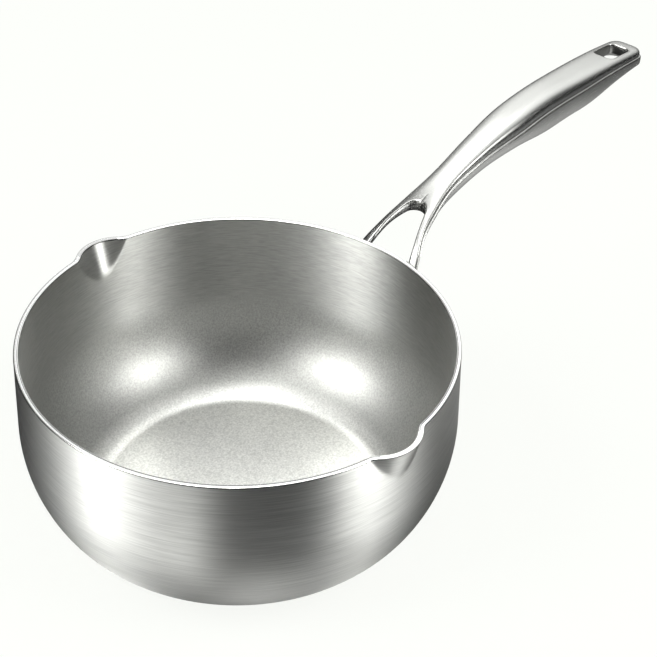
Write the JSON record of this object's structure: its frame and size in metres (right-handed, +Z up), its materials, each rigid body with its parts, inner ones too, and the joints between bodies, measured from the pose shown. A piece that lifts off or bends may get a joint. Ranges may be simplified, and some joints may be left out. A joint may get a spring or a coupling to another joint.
{
  "type": "saucepan",
  "caption": "Deep round-bottomed clad steel saucepan with pouring spouts pressed in the rim and a hollow forked handle with a hanging hole.",
  "frame": {"origin": "centre of the flat underside of the base", "axes": "+Z up, out of the pan's mouth; +X from the pan's axis along the handle"},
  "size_m": [0.4106, 0.2111, 0.1349],
  "materials": {
    "brushed_wall": "satin, brushed round the pan, polished at the rim",
    "core": "rolled, seen only at the rim's edge",
    "blasted_inside": "fine blasted grain",
    "saddle": "polished",
    "handle_top": "polished satin",
    "handle_belly": "polished satin",
    "hole_liner": "polished",
    "weld": "dressed weld"
  },
  "bodies": {
    "root": {"pan_outer_ply": "brushed_wall", "pan_core_ply": "core", "pan_inner_ply": "blasted_inside", "handle_saddle": "saddle", "handle_upper_half": "handle_top", "handle_lower_half": "handle_belly", "hanging_hole_liner": "hole_liner", "foot_weld_left": "weld", "foot_weld_right": "weld"}
  },
  "joints": []
}
